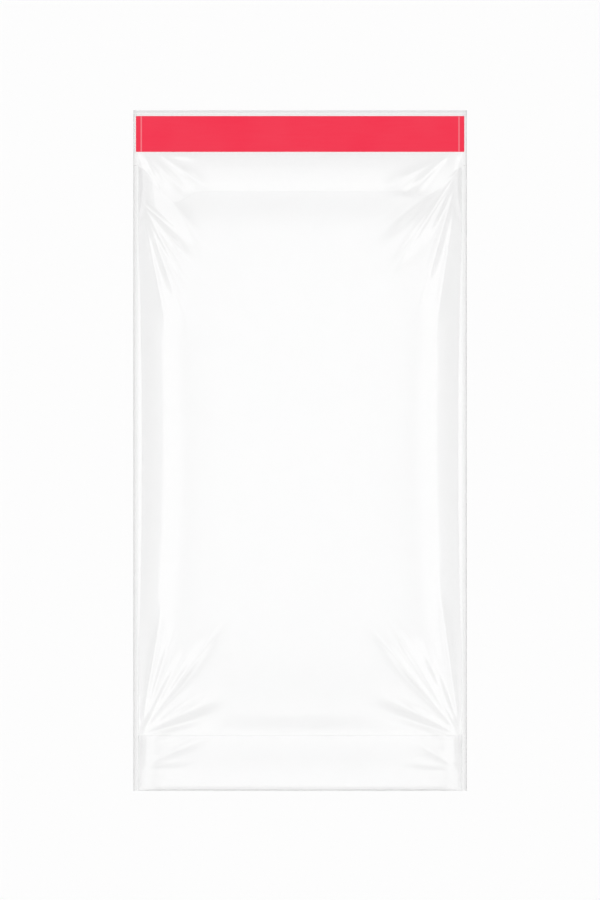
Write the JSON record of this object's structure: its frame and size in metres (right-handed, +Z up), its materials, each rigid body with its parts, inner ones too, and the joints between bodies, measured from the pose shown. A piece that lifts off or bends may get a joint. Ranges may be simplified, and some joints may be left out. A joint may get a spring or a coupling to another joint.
{
  "type": "cellophane bag",
  "caption": "Clear film bag lying on its back, with welded sides, a bottom gusset, an open mouth and a flap with a red peel-off liner over its adhesive.",
  "frame": {"origin": "on the table under the middle of the bag", "axes": "+X across the bag to its right weld, +Y up the bag to the flap, +Z up off the table, out of the front panel"},
  "size_m": [0.12, 0.245, 0.007],
  "materials": {
    "clear_film": "glossy clear film",
    "red_liner": "satin red film"
  },
  "bodies": {
    "root": {"film_bag": "clear_film", "release_liner": "red_liner"}
  },
  "joints": []
}
